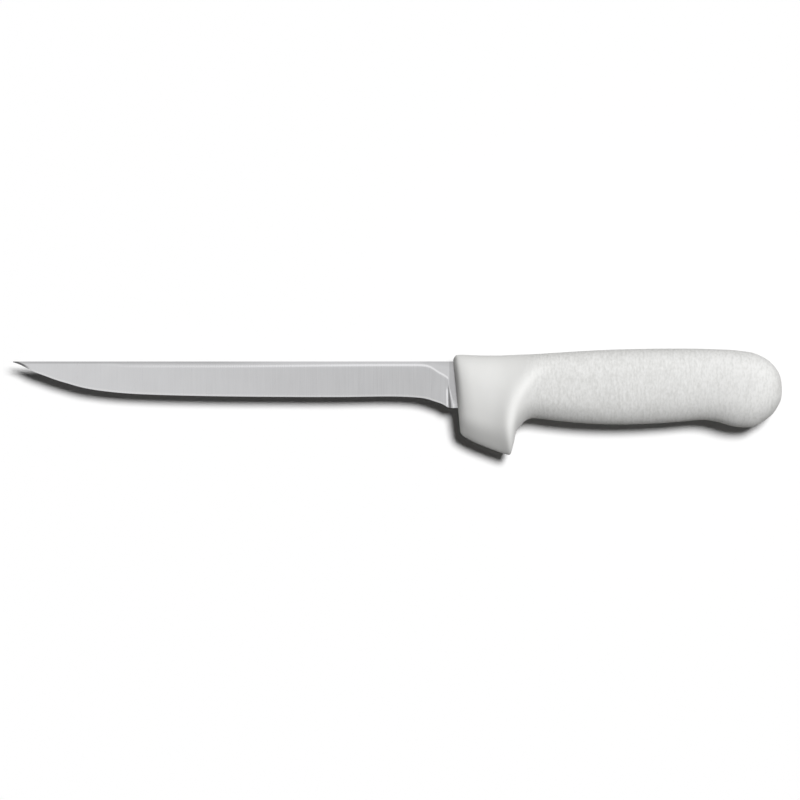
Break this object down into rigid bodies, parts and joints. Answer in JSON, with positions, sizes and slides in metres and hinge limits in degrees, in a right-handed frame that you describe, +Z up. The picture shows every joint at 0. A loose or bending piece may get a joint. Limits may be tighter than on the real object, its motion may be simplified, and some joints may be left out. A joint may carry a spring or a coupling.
{
  "type": "fillet knife",
  "caption": "Narrow fillet knife with a flexible ground steel blade and a moulded white plastic handle with finger guard, finger notch and rounded butt.",
  "frame": {"origin": "centre of the knife's box on the surface that it lies on, with the knife on its side", "axes": "+X along the knife from the tip to the butt, +Y across the blade from the cutting edge to the spine, +Z up, square to the blade"},
  "size_m": [0.3096, 0.0428, 0.0222],
  "materials": {
    "steel": "satin ground stainless steel, with fine scratches across the blade and a honed edge",
    "grip_plastic": "white moulded polypropylene, smooth at the guard and finely textured on the grip"
  },
  "bodies": {
    "root": {"blade": "steel", "handle": "grip_plastic"}
  },
  "joints": []
}
